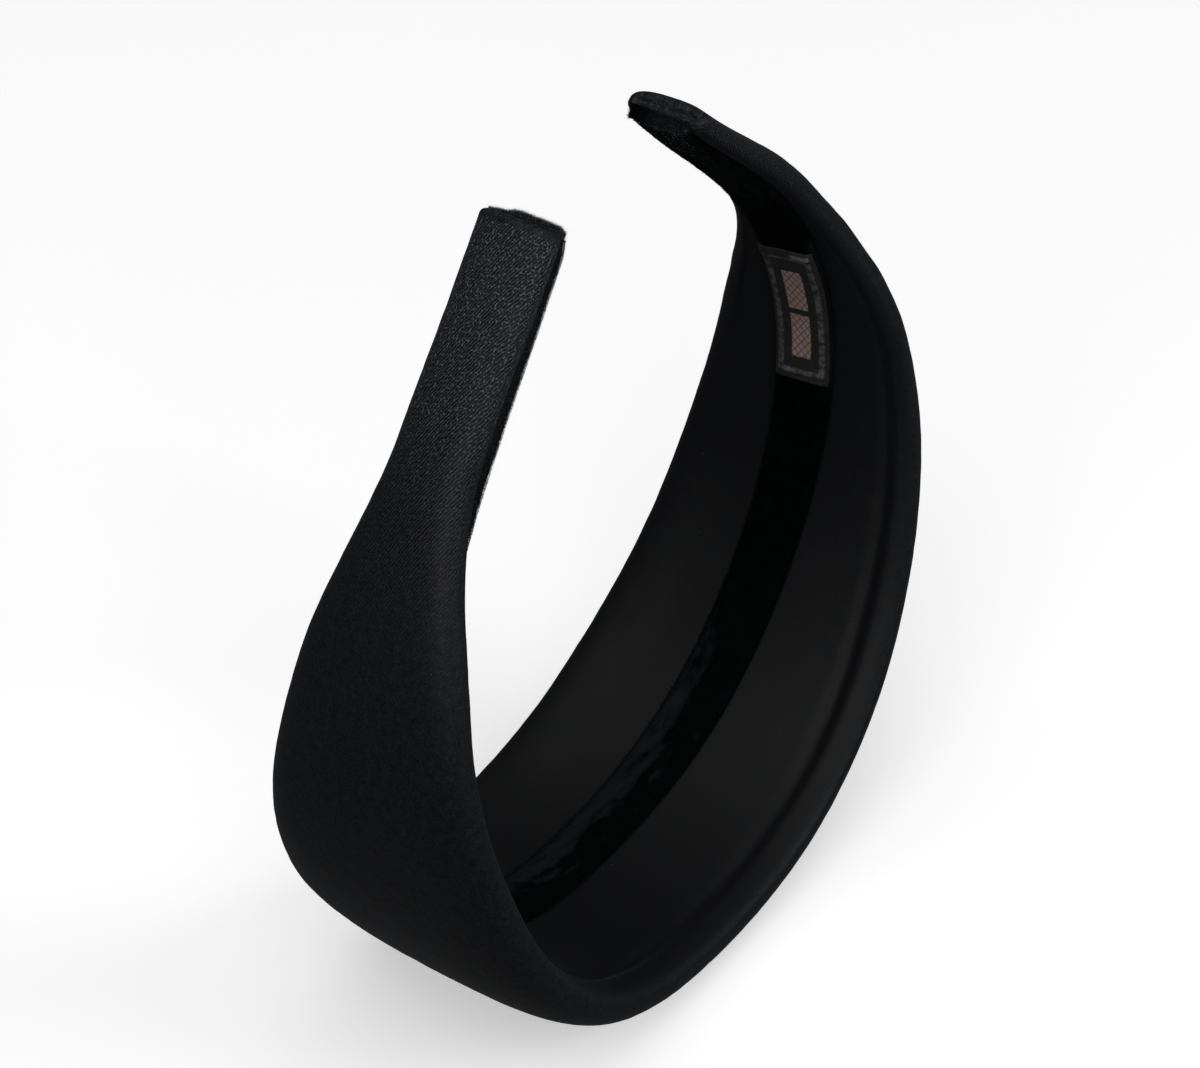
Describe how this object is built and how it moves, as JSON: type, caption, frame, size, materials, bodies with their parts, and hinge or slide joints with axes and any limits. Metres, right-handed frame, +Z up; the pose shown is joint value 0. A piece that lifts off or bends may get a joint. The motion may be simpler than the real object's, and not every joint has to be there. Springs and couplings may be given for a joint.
{
  "type": "padded headband",
  "caption": "Wide padded satin headband that narrows to two tips, with a velvet ribbon along its inner face, resting on its crown.",
  "frame": {"origin": "middle of the flattened seat under the crown, at the middle of the band's width and of its span", "axes": "+X from the left arm to the right arm, +Y across the band from its near edge to its far edge, +Z up from the crown to the tips"},
  "size_m": [0.1398, 0.057, 0.1459],
  "materials": {
    "satin": "black twill satin with a soft sheen, drawn over wadding",
    "velvet": "black velvet ribbon with a short dense pile",
    "label": "woven label with a grey border and plain rose lozenges"
  },
  "bodies": {
    "root": {"padded_band": "satin", "velvet_lining": "velvet", "woven_label": "label"}
  },
  "joints": []
}
